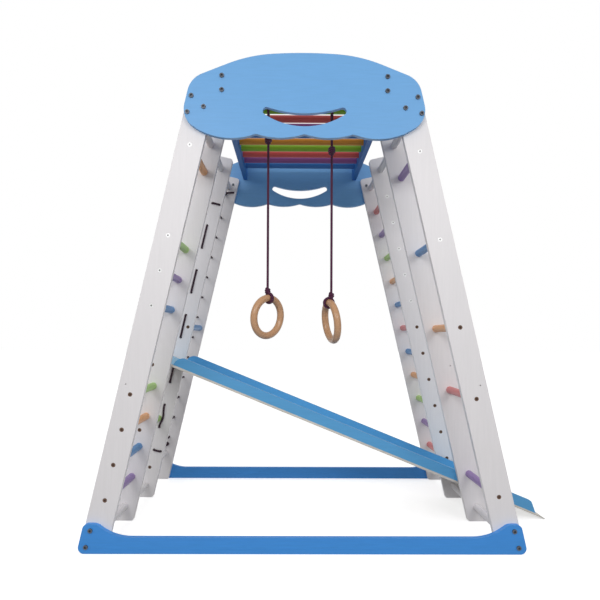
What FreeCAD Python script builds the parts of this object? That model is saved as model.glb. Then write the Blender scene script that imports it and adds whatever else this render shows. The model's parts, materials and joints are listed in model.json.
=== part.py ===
"""Children's indoor climbing frame with a slide, rings and a rope net.

Eight leaning boards stand in two rows, joined by rungs, two arched panels,
two base rails and an overhead ladder. A slide hooks onto a low rung, and two
wooden rings hang from the overhead ladder on ropes.

Axes: +X to the right, +Y to the back, +Z up. The floor is z = 0. The origin is
under the middle of the whole object, slide included.
"""
import FreeCAD, Part

import math
import os

import Sketcher
from FreeCAD import Placement, Rotation, Vector

doc = FreeCAD.newDocument("climbing_frame")

# ---------------------------------------------------------------- dimensions

DIMENSIONS = {
    # frame
    "frame_mid": -101.2,        # x of the frame's middle plane
    "frame_depth": 850.0,       # front face of board 1 to back face of board 4
    "foot_spread": 630.0,       # middle plane to a board's centre line, at the floor
    "lean": 13.0,               # degrees from upright
    "board_width": 80.0,
    "board_thick": 18.0,
    "board_length": 1408.0,     # along the centre line
    "board_top_round": 12.0,
    "board_foot_round": 9.0,
    "panel_thick": 15.0,
    # arched panels, heights above the floor
    "panel_top": 1500.0,
    "panel_crest": 1255.5,      # the three crests of the wavy lower edge
    "panel_lobe": 1243.5,       # lowest point between two crests
    "panel_end_lobe": 1241.5,   # lowest point of the outer lobes
    "crest_pitch": 147.0,
    "crest_round": 12.0,
    "end_lobe_radius": 200.0,
    "cheek_radius": 63.8,
    "cheek_height": 1330.0,
    "cheek_reach": 300.2,
    "crown_radius": 1500.0,
    "crown_reach": 95.0,
    "shoulder_radius": 450.0,
    "shoulder_drop": 21.8,      # degrees, slope where the shoulder ends
    "corner_radius": 70.0,
    # curved handle slot
    "slot_low": 1279.0,
    "slot_low_radius": 221.0,
    "slot_high": 1317.5,
    "slot_high_radius": 352.0,
    "slot_end_radius": 11.5,
    # base rails
    "rail_height": 49.0,
    "rail_ear": 88.0,
    "rail_overlap": 2.0,        # past the boards' outer edges
    "rail_sweep_start": 512.0,
    "rail_sweep_radius": 150.0,
    "rail_sweep_angle": 38.0,
    "rail_ear_round": 16.0,
    "rail_foot_round": 18.0,
    # overhead ladder
    "beam_middle": 249.0,       # middle plane to a beam's middle
    "beam_thick": 18.0,
    "beam_low": 1365.0,
    "beam_high": 1450.0,
    "ladder_height": 1402.0,
    "ladder_first": 92.0,       # front of the frame to the first overhead rung
    "ladder_pitch": 74.0,
    # rungs
    "rung_radius": 12.5,
    "rod_low": 50.0,
    "rod_high": 1325.0,
    "rod_clearance": 0.1,
    "pilot_depth": 32.0,
    # fasteners
    "screw_radius": 3.0,
    "screw_head_radius": 6.5,
    "screw_head_thick": 2.5,
    "screw_reach": 30.0,        # into the rung
    "bolt_radius": 3.0,
    "bolt_head_radius": 7.0,
    "bolt_head_thick": 3.5,
    "beam_bolt_reach": 30.0,
    "nut_radius": 6.0,
    "nut_thick": 3.0,
    "socket_radius": 3.0,
    "socket_depth": 2.0,
    "bolt_socket_radius": 3.9,
    "bolt_socket_depth": 2.4,
    "slide_screw_radius": 2.0,
    "slide_screw_head": 4.0,
    "slide_screw_reach": 14.0,  # past the bed
    "hole_clearance": 0.1,
    "end_room": 1.0,            # empty depth past the end of a screw or bolt
    "spare_hole_radius": 2.0,
    # slide
    "slide_pivot_in": 525.0,    # middle plane to the support rung
    "slide_pivot_height": 547.0,
    "slide_width": 250.0,
    "slide_slope": 22.023,
    "bed_thick": 8.0,
    "bed_lift": 16.0,           # support rung's axis to the underside of the bed
    "bed_above_pivot": 42.0,
    "bed_lip": 3.0,
    "bed_bevel": 36.0,
    "side_thick": 14.0,
    "side_height": 35.0,
    "side_nose": 32.0,
    "side_toe": 16.0,
    "side_rake": 31.0,
    "side_below_pivot": 65.0,
    "side_toe_gap": 38.0,
    "hook_thick": 18.0,
    "hook_spacing": 150.0,
    "hook_half_length": 32.0,
    "hook_depth": 26.0,
    "hook_clearance": 0.5,
    "hook_screw_inset": 9.0,
    "side_screw_inset": 60.0,
    # rings and ropes
    "ring_radius": 62.5,
    "ring_section": 11.75,
    "rope_radius": 4.0,
    "rope_gap": 0.4,
    "left_rope_in": -116.0,
    "right_rope_in": 95.5,
    "left_knot_height": 1304.0,
    "right_knot_height": 1268.0,
    "left_ring_height": 712.5,
    "right_ring_height": 698.0,
    "left_ring_turn": 48.0,
    "right_ring_turn": -76.0,
    "left_ring_tip": 6.5,       # degrees that a ring's top tips forward
    "right_ring_tip": 7.5,
    "knot_radius": 13.5,
    "ring_knot_radius": 8.5,
    "ring_knot_rise": 24.5,     # ring's top section to its knot
    "knot_stretch": 1.2,        # a knot's height over its width
    "knot_neck": 4.0,           # rope standing out of a knot, up to the joint
    "sway_gap": 0.9,
    # rope net
    "net_rope_radius": 4.0,
    "net_hole_radius": 5.0,
    "net_low": 190.0,
    "net_pitch": 90.4,
    "net_bend": 6.0,
    "net_side_step": 28.0,
    "net_stand_off": 0.3,       # cord to the face it lies on
    "net_knot": 8.0,
    "net_slant_start": 8.0,     # a slanting run starts and ends this far off a board
    "net_anchor_run": 14.0,
}

NET_LEVELS = 12
LADDER_COLOURS = ["orange", "green", "red", "purple", "blue"] * 2
RING_RUNG = 1
SIDE_SCREWS = 6

# heights of the rungs that stand on the boards' centre lines
LEFT_FRONT_RUNGS = {
    "purple": [154.0, 846.0],
    "blue": [260.0, 740.0],
    "orange": [366.0, 1227.0],
    "green": [472.0, 952.0],
}
RIGHT_FRONT_RUNGS = {
    "purple": [167.0, 1211.0],
    "red": [462.0],
    "orange": [678.0],
    "blue": [944.0],
}
RIGHT_REAR_RUNGS = {
    "red": [160.0, 688.0, 1216.0],
    "purple": [265.5, 1110.5],
    "green": [371.0, 1005.0],
    "orange": [476.5, 899.0],
    "blue": [582.0, 793.5],
}
# (inward offset from the centre line, height)
LEFT_MIDDLE_GREEN = (-11.0, 317.0)
LEFT_REAR_BLUE = (19.0, 684.0)
LEFT_REAR_WHITE = (0.0, 120.0)
SPARE_HOLE_FRONT = (-20.0, 503.0)

# panel bolts and base rail bolts: distance from the middle plane, height
BEAM_BOLTS = [(249.0, 1430.0), (249.0, 1387.0)]
BOARD_BOLTS = [(340.0, 1369.0), (352.0, 1320.0), (303.0, 1336.0)]
RAIL_BOLTS = [(632.0, 69.0), (645.0, 20.0)]

sheet = doc.addObject("Spreadsheet::Sheet", "Dimensions")
for row, (alias, size) in enumerate(DIMENSIONS.items(), start=1):
    sheet.set(f"A{row}", alias)
    sheet.set(f"B{row}", str(size))
    sheet.setAlias(f"B{row}", alias)
doc.recompute()


def dim(alias):
    """A driving dimension's value, read from the sheet."""
    return float(sheet.get(alias))


def bind(item, prop, formula):
    """Bind a property to a formula whose words in braces are sheet aliases."""
    text = formula
    for alias in sorted(DIMENSIONS, key=len, reverse=True):
        text = text.replace("{" + alias + "}", f"Dimensions.{alias}")
    item.setExpression(prop, text)


# Formulas shared by several parts
PITCH = "(({frame_depth} - {board_thick}) / 3)"
FRONT = "(-{frame_depth} / 2)"
LEAN_TAN = "tan({lean} * 1deg)"
LEAN_COS = "cos({lean} * 1deg)"
LEAN_SIN = "sin({lean} * 1deg)"

lean = math.radians(dim("lean"))
pitch = (dim("frame_depth") - dim("board_thick")) / 3
front = -dim("frame_depth") / 2
rung_length = pitch - dim("board_thick")

LEFT = -1
RIGHT = 1
SIDE_NAME = {LEFT: "left", RIGHT: "right"}


def board_front(k):
    """y of the front face of board k, counted from 1."""
    return front + (k - 1) * pitch


def line_x(side, height, inward=0.0):
    """x of a board's centre line at a height, or of a point inward of it."""
    reach = dim("foot_spread") - height * math.tan(lean) - inward / math.cos(lean)
    return dim("frame_mid") + side * reach


def on_board(side, inward, height):
    """A point at a height as (across, along) in a board's own axes; across is +X."""
    across_out = inward / math.cos(lean)
    x = -side * (height * math.tan(lean) + across_out)
    z = height
    turn = -side * lean
    across = x * math.cos(turn) - z * math.sin(turn)
    along = x * math.sin(turn) + z * math.cos(turn)
    return across, along


# ------------------------------------------------------------ sketch helpers


def new_body(name):
    """A PartDesign body whose label names its file."""
    body = doc.addObject("PartDesign::Body", name)
    body.Label = name
    return body


def plane(body, role):
    """One of the body's own origin planes."""
    return next(f for f in body.Origin.OriginFeatures if f.Role == role)


def sketch_on(body, role, name, offset=0.0):
    """A sketch on one of the body's origin planes, moved along its normal."""
    sketch = body.newObject("Sketcher::SketchObject", name)
    sketch.AttachmentSupport = [(plane(body, role), "")]
    sketch.MapMode = "FlatFace"
    sketch.AttachmentOffset = Placement(Vector(0, 0, offset), Rotation())
    return sketch


def hold(sketch, kind, *where, name=None, formula=None):
    """Add a named dimension and bind it to a formula."""
    index = sketch.addConstraint(Sketcher.Constraint(kind, *where))
    sketch.renameConstraint(index, name)
    bind(sketch, f"Constraints.{name}", formula)


def add_circles(sketch, points, radius_alias, extra=""):
    """Circles at (x, y) points, all of one driven radius."""
    first = None
    for x, y in points:
        circle = Part.Circle(Vector(x, y, 0), Vector(0, 0, 1), dim(radius_alias))
        index = sketch.addGeometry(circle)
        sketch.addConstraint(Sketcher.Constraint("DistanceX", -1, 1, index, 3, x))
        sketch.addConstraint(Sketcher.Constraint("DistanceY", -1, 1, index, 3, y))
        if first is None:
            first = index
            hold(sketch, "Radius", index, dim(radius_alias),
                 name="radius", formula="{" + radius_alias + "}" + extra)
        else:
            sketch.addConstraint(Sketcher.Constraint("Equal", first, index))


def join_up(sketch, outline):
    """Add a closed outline and make the ends of neighbouring pieces coincide."""
    ends = []
    for piece in outline:
        sketch.addGeometry(piece)
        ends.append({1: piece.StartPoint, 2: piece.EndPoint})
    count = len(outline)
    for i in range(count):
        j = (i + 1) % count
        pairs = [
            (here, there)
            for here, a in ends[i].items()
            for there, b in ends[j].items()
            if a.distanceToPoint(b) < 0.001
        ]
        if not pairs:
            raise RuntimeError(f"outline pieces {i} and {j} don't meet")
        sketch.addConstraint(Sketcher.Constraint("Coincident", i, pairs[0][0], j, pairs[0][1]))


def block(sketch, count):
    """Hold the first pieces of a sketch where they are."""
    sketch.addConstraint([Sketcher.Constraint("Block", i) for i in range(count)])


def line(a, b):
    """A straight piece of an outline."""
    return Part.LineSegment(Vector(*a, 0), Vector(*b, 0))


def arc(centre, radius, start, end):
    """An arc in a sketch, anticlockwise from start to end degrees."""
    circle = Part.Circle(Vector(*centre, 0), Vector(0, 0, 1), radius)
    return Part.ArcOfCircle(circle, math.radians(start), math.radians(end))


def pad(body, sketch, thick_formula, reverse=True):
    """Pad a sketch to a driven thickness."""
    feature = body.newObject("PartDesign::Pad", "Pad")
    feature.Profile = sketch
    feature.Reversed = reverse
    bind(feature, "Length", thick_formula)
    return feature


def pocket(body, sketch, depth_formula, reverse=False):
    """Cut a sketch into a body, and check that it takes material away."""
    doc.recompute()
    before = body.Shape.Volume
    feature = body.newObject("PartDesign::Pocket", "Pocket")
    feature.Profile = sketch
    feature.Reversed = reverse
    bind(feature, "Length", depth_formula)
    doc.recompute()
    if body.Shape.Volume > before - 0.1:
        raise RuntimeError(f"{sketch.Label} cuts nothing")
    return feature


def round_edges(body, base, radius_alias, wanted):
    """Fillet the base feature's edges that wanted(edge) picks."""
    doc.recompute()
    picked = [
        f"Edge{i + 1}" for i, edge in enumerate(base.Shape.Edges) if wanted(edge)
    ]
    feature = body.newObject("PartDesign::Fillet", "Fillet")
    feature.Base = (base, picked)
    bind(feature, "Radius", "{" + radius_alias + "}")
    return feature


def runs_along_y(edge):
    """Whether an edge is straight and runs along Y."""
    if len(edge.Vertexes) != 2:
        return False
    step = edge.Vertexes[1].Point - edge.Vertexes[0].Point
    return abs(step.x) < 1e-6 and abs(step.z) < 1e-6


# -------------------------------------------------------- simple solid helpers


def cylinder(name, radius, height, at=(0, 0, 0), along="Y"):
    """A Part cylinder with driven sizes, along Y or Z from a point."""
    item = doc.addObject("Part::Cylinder", name)
    bind(item, "Radius", radius)
    bind(item, "Height", height)
    turn = Rotation(Vector(1, 0, 0), -90) if along == "Y" else Rotation()
    item.Placement = Placement(Vector(*at), turn)
    return item


def boolean(kind, name, base, tool):
    """A Part boolean of two objects."""
    item = doc.addObject(f"Part::{kind}", name)
    item.Base = base
    item.Tool = tool
    return item


def copies(label, master, placements):
    """One sub-part: several separate copies of a master solid."""
    links = []
    for n, placement in enumerate(placements, start=1):
        links.append(linked(f"{label}_{n}", master, placement))
    return gathered(label, links)


def linked(name, master, placement):
    """A copy of a master solid, moved from the master's own place."""
    link = doc.addObject("App::Link", name)
    link.LinkedObject = master
    link.LinkTransform = True
    link.Placement = placement
    return link


def gathered(label, links):
    """Several solids as one labelled object."""
    group = doc.addObject("Part::Compound", label)
    group.Label = label
    group.Links = links
    return group


subparts = []


def keep(item):
    """Put an object on the list of sub-parts to write."""
    subparts.append(item)
    return item


# -------------------------------------------------------------- rung positions

BAY_FRONT = {"front": 1, "middle": 2, "rear": 3}


def rung_sites():
    """Every short rung: side, bay, colour, inward offset and height."""
    sites = []
    for colour, heights in LEFT_FRONT_RUNGS.items():
        sites += [(LEFT, "front", colour, 0.0, height) for height in heights]
    for colour, heights in RIGHT_FRONT_RUNGS.items():
        sites += [(RIGHT, "front", colour, 0.0, height) for height in heights]
    for colour, heights in RIGHT_REAR_RUNGS.items():
        sites += [(RIGHT, "rear", colour, 0.0, height) for height in heights]
    sites.append((LEFT, "middle", "green", *LEFT_MIDDLE_GREEN))
    sites.append((LEFT, "middle", "slide", *slide_rung_site(LEFT)))
    sites.append((LEFT, "rear", "blue", *LEFT_REAR_BLUE))
    sites.append((LEFT, "rear", "white", *LEFT_REAR_WHITE))
    return sites


def slide_rung_site(side):
    """The slide's support rung as (inward offset, height) on a board."""
    height = dim("slide_pivot_height")
    centre = dim("foot_spread") - height * math.tan(lean)
    return (centre - dim("slide_pivot_in")) * math.cos(lean), height


def net_holes(board):
    """Rope holes of the net's front (3) or rear (4) board as (inward, height)."""
    step = dim("net_side_step")
    low = dim("net_low")
    heights = [low + n * dim("net_pitch") for n in range(NET_LEVELS)]
    holes = [(0.0, height) for height in heights]
    if board == 3:
        drop = step * math.tan(lean)
        holes.append((step, heights[0] - drop))
        holes.append((step, heights[-1] - drop))
    else:
        holes += NET_TOP_HOLES + [NET_TURN_HOLE, NET_END_HOLE]
    return holes


# the net's extra holes in the rearmost board; the top two also pass the panel
NET_TOP_HOLES = [(-5.0, 1292.0), (27.0, 1300.0)]
NET_TURN_HOLE = (-22.0, 186.0)
NET_END_HOLE = (0.0, 161.0)

# ----------------------------------------------------------------- the boards


def board_holes(side, k):
    """Hole centres of one board, by kind, as (across, along)."""
    holes = {"screw_front": [], "screw_back": [], "rod": [], "rope": [], "bolt": [], "spare": []}
    for site_side, bay, _, inward, height in rung_sites():
        if site_side != side:
            continue
        if k == BAY_FRONT[bay]:
            holes["screw_front"].append(on_board(side, inward, height))
        if k == BAY_FRONT[bay] + 1:
            holes["screw_back"].append(on_board(side, inward, height))
    rods = [on_board(side, 0.0, height) for height in rod_heights(side, k)]
    if k in (2, 3):
        holes["rod"] += rods
    elif k == 1:
        holes["screw_front"] += rods
    else:
        holes["screw_back"] += rods
    if side == LEFT and k == 3:
        ends = [on_board(side, 0.0, dim("rod_low"))]
        holes["rod"] = [point for point in holes["rod"] if point not in ends]
        holes["screw_back"] += ends
    if side == LEFT and k in (3, 4):
        holes["rope"] += [on_board(side, inward, height) for inward, height in net_holes(k)]
    if k in (1, 4):
        for reach, height in BOARD_BOLTS + RAIL_BOLTS:
            inward = dim("foot_spread") - height * math.tan(lean) - reach
            holes["bolt"].append(on_board(side, inward * math.cos(lean), height))
    if k == 1:
        holes["spare"].append(on_board(side, *SPARE_HOLE_FRONT))
    if k == 2 and side == RIGHT:
        holes["spare"].append(on_board(side, *slide_rung_site(side)))
    return holes


def rod_heights(side, k):
    """Heights of the white rods that reach board k."""
    if side == LEFT and k == 4:
        return [dim("rod_high")]
    return [dim("rod_low"), dim("rod_high")]


def make_board(side, k):
    """One leaning board: square top, level foot, rounded corners, drilled."""
    name = f"{SIDE_NAME[side]}_board_{k}"
    body = new_body(name)
    outline = sketch_on(body, "XZ_Plane", "Outline")
    half = dim("board_width") / 2
    rise = -side * half * math.tan(lean)
    length = dim("board_length")
    corners = [(-half, -rise), (half, rise), (half, length), (-half, length)]
    join_up(outline, [line(corners[i], corners[(i + 1) % 4]) for i in range(4)])
    for edge in (1, 3):
        outline.addConstraint(Sketcher.Constraint("Vertical", edge))
    outline.addConstraint(Sketcher.Constraint("Horizontal", 2))
    outline.addConstraint(Sketcher.Constraint("PointOnObject", -1, 1, 0))
    hold(outline, "DistanceX", 2, 2, -1, 1, half, name="left_half", formula="{board_width} / 2")
    hold(outline, "DistanceX", -1, 1, 2, 1, half, name="right_half", formula="{board_width} / 2")
    hold(outline, "DistanceY", -1, 1, 2, 1, length, name="length", formula="{board_length}")
    sign = "-" if side == RIGHT else ""
    hold(outline, "DistanceY", -1, 1, 1, 1, rise, name="foot_rise",
         formula=f"{sign}{{board_width}} / 2 * {LEAN_TAN}")
    solid = pad(body, outline, "{board_thick}")
    top = round_edges(body, solid, "board_top_round",
                      lambda e: runs_along_y(e) and e.Vertexes[0].Z > length / 2)
    round_edges(body, top, "board_foot_round",
                lambda e: runs_along_y(e) and e.Vertexes[0].Z < length / 2
                and abs(abs(e.Vertexes[0].X) - half) < 1e-6)
    holes = board_holes(side, k)
    screws = holes["screw_front"] + holes["screw_back"]
    drill(body, "ScrewHoles", screws, "screw_radius", " + {hole_clearance}")
    drill(body, "RodHoles", holes["rod"], "rung_radius", " + {rod_clearance}")
    drill(body, "RopeHoles", holes["rope"], "net_hole_radius")
    drill(body, "BoltHoles", holes["bolt"], "bolt_radius", " + {hole_clearance}")
    drill(body, "SpareHoles", holes["spare"], "spare_hole_radius")
    sink(body, "FrontSinks", holes["screw_front"], at_back=False)
    sink(body, "BackSinks", holes["screw_back"], at_back=True)
    bind(body, "Placement.Base.x", f"{{frame_mid}} + {side} * {{foot_spread}}")
    bind(body, "Placement.Base.y", f"{FRONT} + {k - 1} * {PITCH}")
    body.Placement = Placement(Vector(line_x(side, 0), board_front(k), 0),
                               Rotation(Vector(0, 1, 0), -side * dim("lean")))
    return keep(body)


def drill(body, name, points, radius_alias, extra=""):
    """Holes right through a board or panel."""
    if not points:
        return
    sketch = sketch_on(body, "XZ_Plane", name)
    add_circles(sketch, points, radius_alias, extra)
    pocket(body, sketch, "{board_thick} * 2")


def sink(body, name, points, at_back):
    """Shallow round sinks for the screw heads."""
    if not points:
        return
    offset = -dim("board_thick") if at_back else 0.0
    sketch = sketch_on(body, "XZ_Plane", name, offset)
    add_circles(sketch, points, "screw_head_radius", " + {hole_clearance}")
    pocket(body, sketch, "{screw_head_thick}", reverse=at_back)


for side in (LEFT, RIGHT):
    for k in range(1, 5):
        make_board(side, k)

# ---------------------------------------------------------------- the panels


def lobe(centre_x, low, half, high):
    """An arc that hangs from two crests: centre height and radius."""
    sag = high - low
    radius = (half * half + sag * sag) / (2 * sag)
    return (centre_x, low + radius), radius


def angle_at(centre, point):
    """Direction from a centre to a point, in degrees."""
    return math.degrees(math.atan2(point[1] - centre[1], point[0] - centre[0]))


def half_panel_outline():
    """Outline of the right half, anticlockwise from the middle of the lower edge."""
    crest = dim("panel_crest")
    step = dim("crest_pitch")
    inner, inner_radius = lobe(step / 2, dim("panel_lobe"), step / 2, crest)
    pieces = [arc(inner, inner_radius, angle_at(inner, (0, crest)), angle_at(inner, (step, crest)))]
    radius = dim("end_lobe_radius")
    sag = crest - dim("panel_end_lobe")
    half = math.sqrt(radius * radius - (radius - sag) ** 2)
    outer = (step + half, dim("panel_end_lobe") + radius)
    cheek_radius = dim("cheek_radius")
    cheek = cheek_centre(outer, radius, cheek_radius)
    join = angle_at(outer, cheek)
    pieces.append(arc(outer, radius, angle_at(outer, (step, crest)), join))
    pieces.append(arc(cheek, cheek_radius, join, dim("lean")))
    side_low = polar(cheek, cheek_radius, dim("lean"))
    crown_radius = dim("crown_radius")
    crown = (0.0, dim("panel_top") - crown_radius)
    crown_angle = 90 - math.degrees(math.asin(dim("crown_reach") / crown_radius))
    crown_end = polar(crown, crown_radius, crown_angle)
    shoulder_radius = dim("shoulder_radius")
    shoulder = polar(crown_end, shoulder_radius, crown_angle + 180)
    drop = dim("shoulder_drop")
    shoulder_end = polar(shoulder, shoulder_radius, 90 - drop)
    corner_radius = dim("corner_radius")
    corner = corner_centre(side_low, shoulder_end, drop, corner_radius)
    side_high = polar(corner, corner_radius, dim("lean"))
    slope_low = polar(corner, corner_radius, 90 - drop)
    pieces.append(line(side_low, side_high))
    pieces.append(arc(corner, corner_radius, dim("lean"), 90 - drop))
    pieces.append(line(slope_low, shoulder_end))
    pieces.append(arc(shoulder, shoulder_radius, 90 - drop, crown_angle))
    return pieces, crown, crown_radius, crown_angle


def cheek_centre(outer, outer_radius, radius):
    """Centre of the cheek arc: inside the outer lobe's circle and tangent to it."""
    height = dim("cheek_height")
    reach = math.sqrt((outer_radius - radius) ** 2 - (outer[1] - height) ** 2)
    return outer[0] + reach, height


def polar(centre, radius, degrees):
    """The point at a distance and direction from a centre."""
    turn = math.radians(degrees)
    return centre[0] + radius * math.cos(turn), centre[1] + radius * math.sin(turn)


def corner_centre(side_point, slope_point, drop, radius):
    """Centre of an arc tangent to the leaning side and to the shoulder's slope."""
    side_turn = math.radians(dim("lean"))
    slope_turn = math.radians(90 - drop)
    side_normal = (math.cos(side_turn), math.sin(side_turn))
    slope_normal = (math.cos(slope_turn), math.sin(slope_turn))
    side_level = side_point[0] * side_normal[0] + side_point[1] * side_normal[1] - radius
    slope_level = slope_point[0] * slope_normal[0] + slope_point[1] * slope_normal[1] - radius
    det = side_normal[0] * slope_normal[1] - side_normal[1] * slope_normal[0]
    x = (side_level * slope_normal[1] - slope_level * side_normal[1]) / det
    y = (side_normal[0] * slope_level - slope_normal[0] * side_level) / det
    return x, y


def mirrored(piece):
    """The same outline piece on the other side of the middle plane."""
    if isinstance(piece, Part.LineSegment):
        a, b = piece.StartPoint, piece.EndPoint
        return line((-b.x, b.y), (-a.x, a.y))
    centre = (-piece.Center.x, piece.Center.y)
    first = 180 - math.degrees(piece.LastParameter)
    last = 180 - math.degrees(piece.FirstParameter)
    return arc(centre, piece.Radius, first, last)


def slot_outline():
    """The smile-shaped handle slot, anticlockwise."""
    low_radius = dim("slot_low_radius")
    high_radius = dim("slot_high_radius")
    end_radius = dim("slot_end_radius")
    low = (0.0, dim("slot_low") + low_radius)
    high = (0.0, dim("slot_high") + high_radius)
    apart = high[1] - low[1]
    a = low_radius - end_radius
    b = high_radius + end_radius
    down = (a * a + apart * apart - b * b) / (2 * apart)
    across = math.sqrt(a * a - down * down)
    end = (across, low[1] + down)
    low_angle = angle_at(low, end)
    high_angle = angle_at(high, end)
    return [
        arc(low, low_radius, 180 - low_angle - 360, low_angle),
        arc(end, end_radius, low_angle, high_angle + 180),
        arc(high, high_radius, 180 - high_angle - 360, high_angle),
        arc((-across, end[1]), end_radius, -high_angle, 180 - low_angle),
    ]


def make_panel(name, y_formula, y_value, rope_holes):
    """One arched panel with a wavy lower edge and a handle slot."""
    body = new_body(name)
    sketch = sketch_on(body, "XZ_Plane", "Outline")
    pieces, crown, crown_radius, crown_angle = half_panel_outline()
    top = arc(crown, crown_radius, crown_angle, 180 - crown_angle)
    outline = pieces + [top] + [mirrored(piece) for piece in reversed(pieces)]
    join_up(sketch, outline)
    block(sketch, len(outline))
    solid = pad(body, sketch, "{panel_thick}")
    round_edges(body, solid, "crest_round",
                lambda e: runs_along_y(e) and abs(e.Vertexes[0].Z - dim("panel_crest")) < 0.01)
    slot = sketch_on(body, "XZ_Plane", "HandleSlot")
    slot_pieces = slot_outline()
    join_up(slot, slot_pieces)
    block(slot, len(slot_pieces))
    pocket(body, slot, "{panel_thick} * 2")
    bolts = BEAM_BOLTS + BOARD_BOLTS
    points = [(side * reach, height) for side in (LEFT, RIGHT) for reach, height in bolts]
    drill(body, "BoltHoles", points, "bolt_radius", " + {hole_clearance}")
    if rope_holes:
        points = [
            (line_x(LEFT, height, inward) - dim("frame_mid"), height)
            for inward, height in NET_TOP_HOLES
        ]
        drill(body, "RopeHoles", points, "net_hole_radius")
    body.Placement = Placement(Vector(dim("frame_mid"), y_value, 0), Rotation())
    bind(body, "Placement.Base.x", "{frame_mid}")
    bind(body, "Placement.Base.y", y_formula)
    return keep(body)


make_panel("front_panel", f"{FRONT} - {{panel_thick}}", front - dim("panel_thick"), False)
make_panel("rear_panel", "{frame_depth} / 2", -front, True)

# ------------------------------------------------------------- the base rails


def half_rail_outline():
    """Right half of a base rail, anticlockwise from the middle of its foot."""
    slope = math.tan(lean)
    foot = dim("foot_spread") + (dim("board_width") / 2 + dim("rail_overlap")) / math.cos(lean)
    foot_round = dim("rail_foot_round")
    ear_round = dim("rail_ear_round")
    ear = dim("rail_ear")
    leaning = (math.cos(lean), math.sin(lean))
    level = foot * leaning[0]
    foot_x = (level - foot_round - foot_round * leaning[1]) / leaning[0]
    ear_x = (level - ear_round - (ear - ear_round) * leaning[1]) / leaning[0]
    foot_centre = (foot_x, foot_round)
    ear_centre = (ear_x, ear - ear_round)
    sweep = dim("rail_sweep_angle")
    sweep_radius = dim("rail_sweep_radius")
    start = (dim("rail_sweep_start"), dim("rail_height"))
    sweep_centre = (start[0], start[1] + sweep_radius)
    sweep_end = polar(sweep_centre, sweep_radius, sweep - 90)
    brow_radius = (ear - sweep_end[1]) / (1 - math.cos(math.radians(sweep)))
    brow_centre = polar(sweep_end, brow_radius, sweep - 90)
    brow_top = polar(brow_centre, brow_radius, 90)
    return [
        line((0, 0), (foot_centre[0], 0)),
        arc(foot_centre, foot_round, -90, dim("lean")),
        line(polar(foot_centre, foot_round, dim("lean")), polar(ear_centre, ear_round, dim("lean"))),
        arc(ear_centre, ear_round, dim("lean"), 90),
        line((ear_centre[0], ear), brow_top),
        arc(brow_centre, brow_radius, 90, 90 + sweep),
        arc(sweep_centre, sweep_radius, -90, sweep - 90),
    ], start


def make_rail(name, y_formula, y_value):
    """One base rail: a low straight rail that sweeps up to an ear at each end."""
    body = new_body(name)
    sketch = sketch_on(body, "XZ_Plane", "Outline")
    pieces, start = half_rail_outline()
    right = pieces[1:]
    left = [mirrored(piece) for piece in reversed(right)]
    foot = line((-pieces[0].EndPoint.x, 0), (pieces[0].EndPoint.x, 0))
    top = line(start, (-start[0], start[1]))
    outline = [foot] + right + [top] + left
    join_up(sketch, outline)
    block(sketch, len(outline))
    pad(body, sketch, "{panel_thick}")
    points = [(side * reach, height) for side in (LEFT, RIGHT) for reach, height in RAIL_BOLTS]
    drill(body, "BoltHoles", points, "bolt_radius", " + {hole_clearance}")
    body.Placement = Placement(Vector(dim("frame_mid"), y_value, 0), Rotation())
    bind(body, "Placement.Base.x", "{frame_mid}")
    bind(body, "Placement.Base.y", y_formula)
    return keep(body)


make_rail("front_base_rail", f"{FRONT} - {{panel_thick}}", front - dim("panel_thick"))
make_rail("rear_base_rail", "{frame_depth} / 2", -front)

# -------------------------------------------------------- fasteners and rungs


def hex_socket(name, start, radius, depth):
    """A six-sided recess along Y from a starting y."""
    item = doc.addObject("Part::Prism", name)
    item.Polygon = 6
    bind(item, "Circumradius", radius)
    bind(item, "Height", depth)
    item.Placement = Placement(Vector(0, start, 0), Rotation(Vector(1, 0, 0), -90))
    return item


def fused(name, pieces):
    """One solid from several overlapping or touching solids."""
    item = doc.addObject("Part::MultiFuse", name)
    item.Shapes = pieces
    item.Refine = True
    return item


def make_screw():
    """A rung screw along +Y from a board's face, with its head flush."""
    head = cylinder("screw_head", "{screw_head_radius}", "{screw_head_thick}")
    shank = cylinder("screw_shank", "{screw_radius}",
                     "{board_thick} + {screw_reach} - {screw_head_thick}",
                     at=(0, dim("screw_head_thick"), 0))
    whole = fused("screw_blank", [head, shank])
    recess = hex_socket("screw_recess", 0, "{socket_radius}", "{socket_depth}")
    return boolean("Cut", "screw", whole, recess)


def make_bolt(name, reach_formula, nut_at):
    """A bolt along +Y whose head stands on the face at y = 0."""
    head = cylinder(f"{name}_head", "{bolt_head_radius}", "{bolt_head_thick}",
                    at=(0, -dim("bolt_head_thick"), 0))
    shank = cylinder(f"{name}_shank", "{bolt_radius}", reach_formula)
    pieces = [head, shank]
    if nut_at is not None:
        pieces.append(hex_socket(f"{name}_nut", nut_at, "{nut_radius}", "{nut_thick}"))
    whole = fused(f"{name}_blank", pieces)
    recess = hex_socket(f"{name}_recess", -dim("bolt_head_thick"), "{bolt_socket_radius}",
                        "{bolt_socket_depth}")
    return boolean("Cut", name, whole, recess)


def make_rung(name, length_formula, length):
    """A round rung along +Y from the origin, with a pilot hole in each end."""
    blank = cylinder(f"{name}_blank", "{rung_radius}", length_formula)
    pilots = [
        cylinder(f"{name}_pilot_1", "{screw_radius} + {hole_clearance}", "{pilot_depth}"),
        cylinder(f"{name}_pilot_2", "{screw_radius} + {hole_clearance}", "{pilot_depth}",
                 at=(0, length - dim("pilot_depth"), 0)),
    ]
    return boolean("Cut", name, blank, fused(f"{name}_pilots", pilots))


def turned(degrees, *where):
    """A placement turned about the vertical."""
    return Placement(Vector(*where), Rotation(Vector(0, 0, 1), degrees))


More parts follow.
